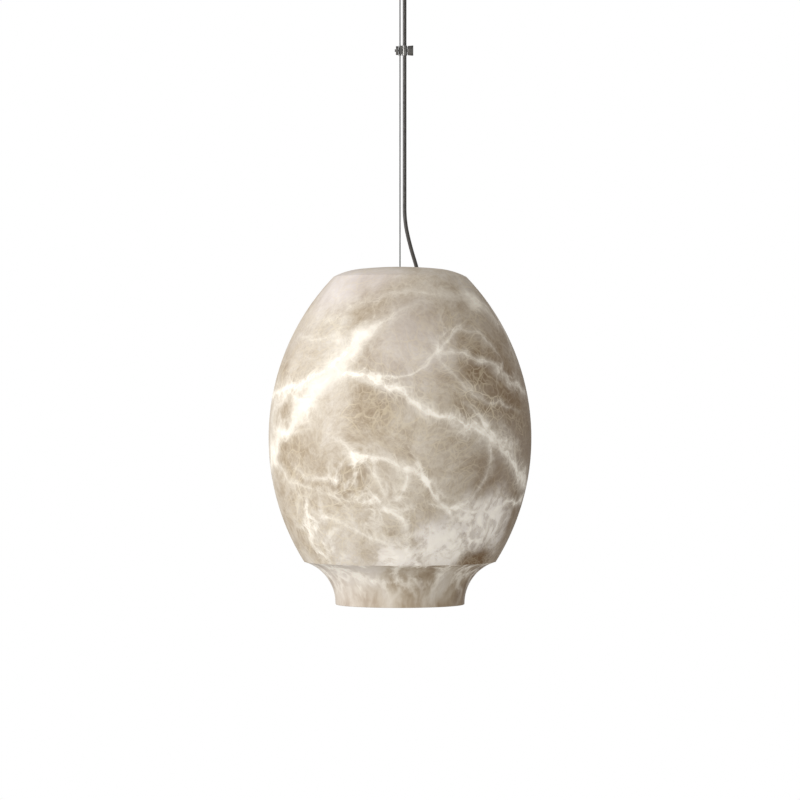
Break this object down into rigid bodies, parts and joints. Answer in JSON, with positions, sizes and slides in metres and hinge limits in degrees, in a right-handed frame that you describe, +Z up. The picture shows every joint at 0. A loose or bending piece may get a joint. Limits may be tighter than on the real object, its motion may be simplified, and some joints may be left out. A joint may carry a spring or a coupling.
{
  "type": "pendant lamp",
  "caption": "Barrel-shaped veined alabaster pendant lamp with a coved collar, hung on a steel wire with a clipped grey cord from a swivelling ceiling canopy.",
  "frame": {"origin": "centre of the ceiling face, on the wire's axis, where the crossbar meets the ceiling", "axes": "+Z up along the suspension wire, +X towards the power cord, -Y towards the viewer of the picture"},
  "size_m": [0.32, 0.32, 0.8128],
  "materials": {
    "stone": "polished, warm veins",
    "satin_steel": "satin",
    "plain_steel": "zinc plated",
    "wire_steel": "bright drawn",
    "dark_steel": "dark satin",
    "cord_sheath": "matt grey",
    "core_insulation": "matt",
    "nylon": "natural",
    "clear_plastic": "translucent",
    "soft_rubber": "matt grey",
    "felt": "felt",
    "holder_plastic": "white",
    "porcelain": "unglazed",
    "brass": "plain",
    "opal": "frosted",
    "bulb_white": "white",
    "cap_metal": "plated",
    "dark_glass": "black",
    "board": "white mask",
    "led_yellow": "phosphor",
    "driver_green": "green mask"
  },
  "bodies": {
    "ceiling": {"canopy_cup": "satin_steel", "crossbar": "plain_steel", "canopy_screws": "satin_steel", "earth_washer": "brass", "earth_screw": "brass"},
    "socket": {"socket_ring": "satin_steel"},
    "seat": {"seat_ring": "nylon"},
    "pendant": {"swivel_ball": "satin_steel", "wire_grub": "plain_steel", "cord_grub": "plain_steel", "suspension_wire": "wire_steel", "top_ferrule": "plain_steel", "stop_ferrule": "plain_steel", "stop_washer": "plain_steel", "power_cord": "cord_sheath", "cord_tail": "cord_sheath", "canopy_cores": "core_insulation", "connector_block": "clear_plastic", "connector_screws": "plain_steel", "shade_barrel": "stone", "shade_collar": "stone", "wire_eyelet": "nylon", "cord_grommet": "soft_rubber", "load_pad": "felt", "load_plate": "plain_steel", "gland_body": "nylon", "gland_nut": "nylon", "stirrup": "plain_steel", "stirrup_screws": "plain_steel", "nipple": "plain_steel", "nipple_nut": "plain_steel", "nipple_washer": "plain_steel", "holder_cap": "holder_plastic", "holder_body": "holder_plastic", "holder_base": "porcelain", "holder_shell": "brass", "holder_contact": "brass", "holder_terminals": "brass", "terminal_screws": "brass", "holder_cores": "core_insulation"},
    "clip": {"clip_body": "dark_steel"},
    "clip_wire_screw": {"wire_knob": "dark_steel"},
    "clip_cord_screw": {"cord_knob": "dark_steel"},
    "bulb": {"bulb_contact": "cap_metal", "bulb_insulator": "dark_glass", "bulb_cap": "cap_metal", "bulb_housing": "bulb_white", "bulb_globe": "opal", "led_board": "board", "bulb_leds": "led_yellow", "bulb_driver": "driver_green"}
  },
  "joints": [
    {"name": "pendant_turn", "type": "hinge", "parent": "ceiling", "child": "socket", "pos_m": [0, 0, -0.0373], "axis": [0, 0, 1], "range_deg": [-170, 170]},
    {"name": "swing_front_back", "type": "hinge", "parent": "socket", "child": "seat", "pos_m": [0, 0, -0.0373], "axis": [1, 0, 0], "range_deg": [-10, 10]},
    {"name": "swing_left_right", "type": "hinge", "parent": "seat", "child": "pendant", "pos_m": [0, 0, -0.0373], "axis": [0, 1, 0], "range_deg": [-10, 10]},
    {"name": "clip_slide", "type": "slide", "parent": "pendant", "child": "clip", "axis": [0, 0, 1], "range_m": [-0.18, 0.06]},
    {"name": "wire_screw_turn", "type": "hinge", "parent": "clip", "child": "clip_wire_screw", "pos_m": [0, 0, -0.1384], "axis": [1, 0, 0], "range_deg": [0, 360]},
    {"name": "cord_screw_turn", "type": "hinge", "parent": "clip", "child": "clip_cord_screw", "pos_m": [0.0056, 0, -0.1384], "axis": [1, 0, 0], "range_deg": [0, 360]},
    {"name": "bulb_out", "type": "slide", "parent": "pendant", "child": "bulb", "axis": [0, 0, -1], "range_m": [0, 0.28]}
  ]
}
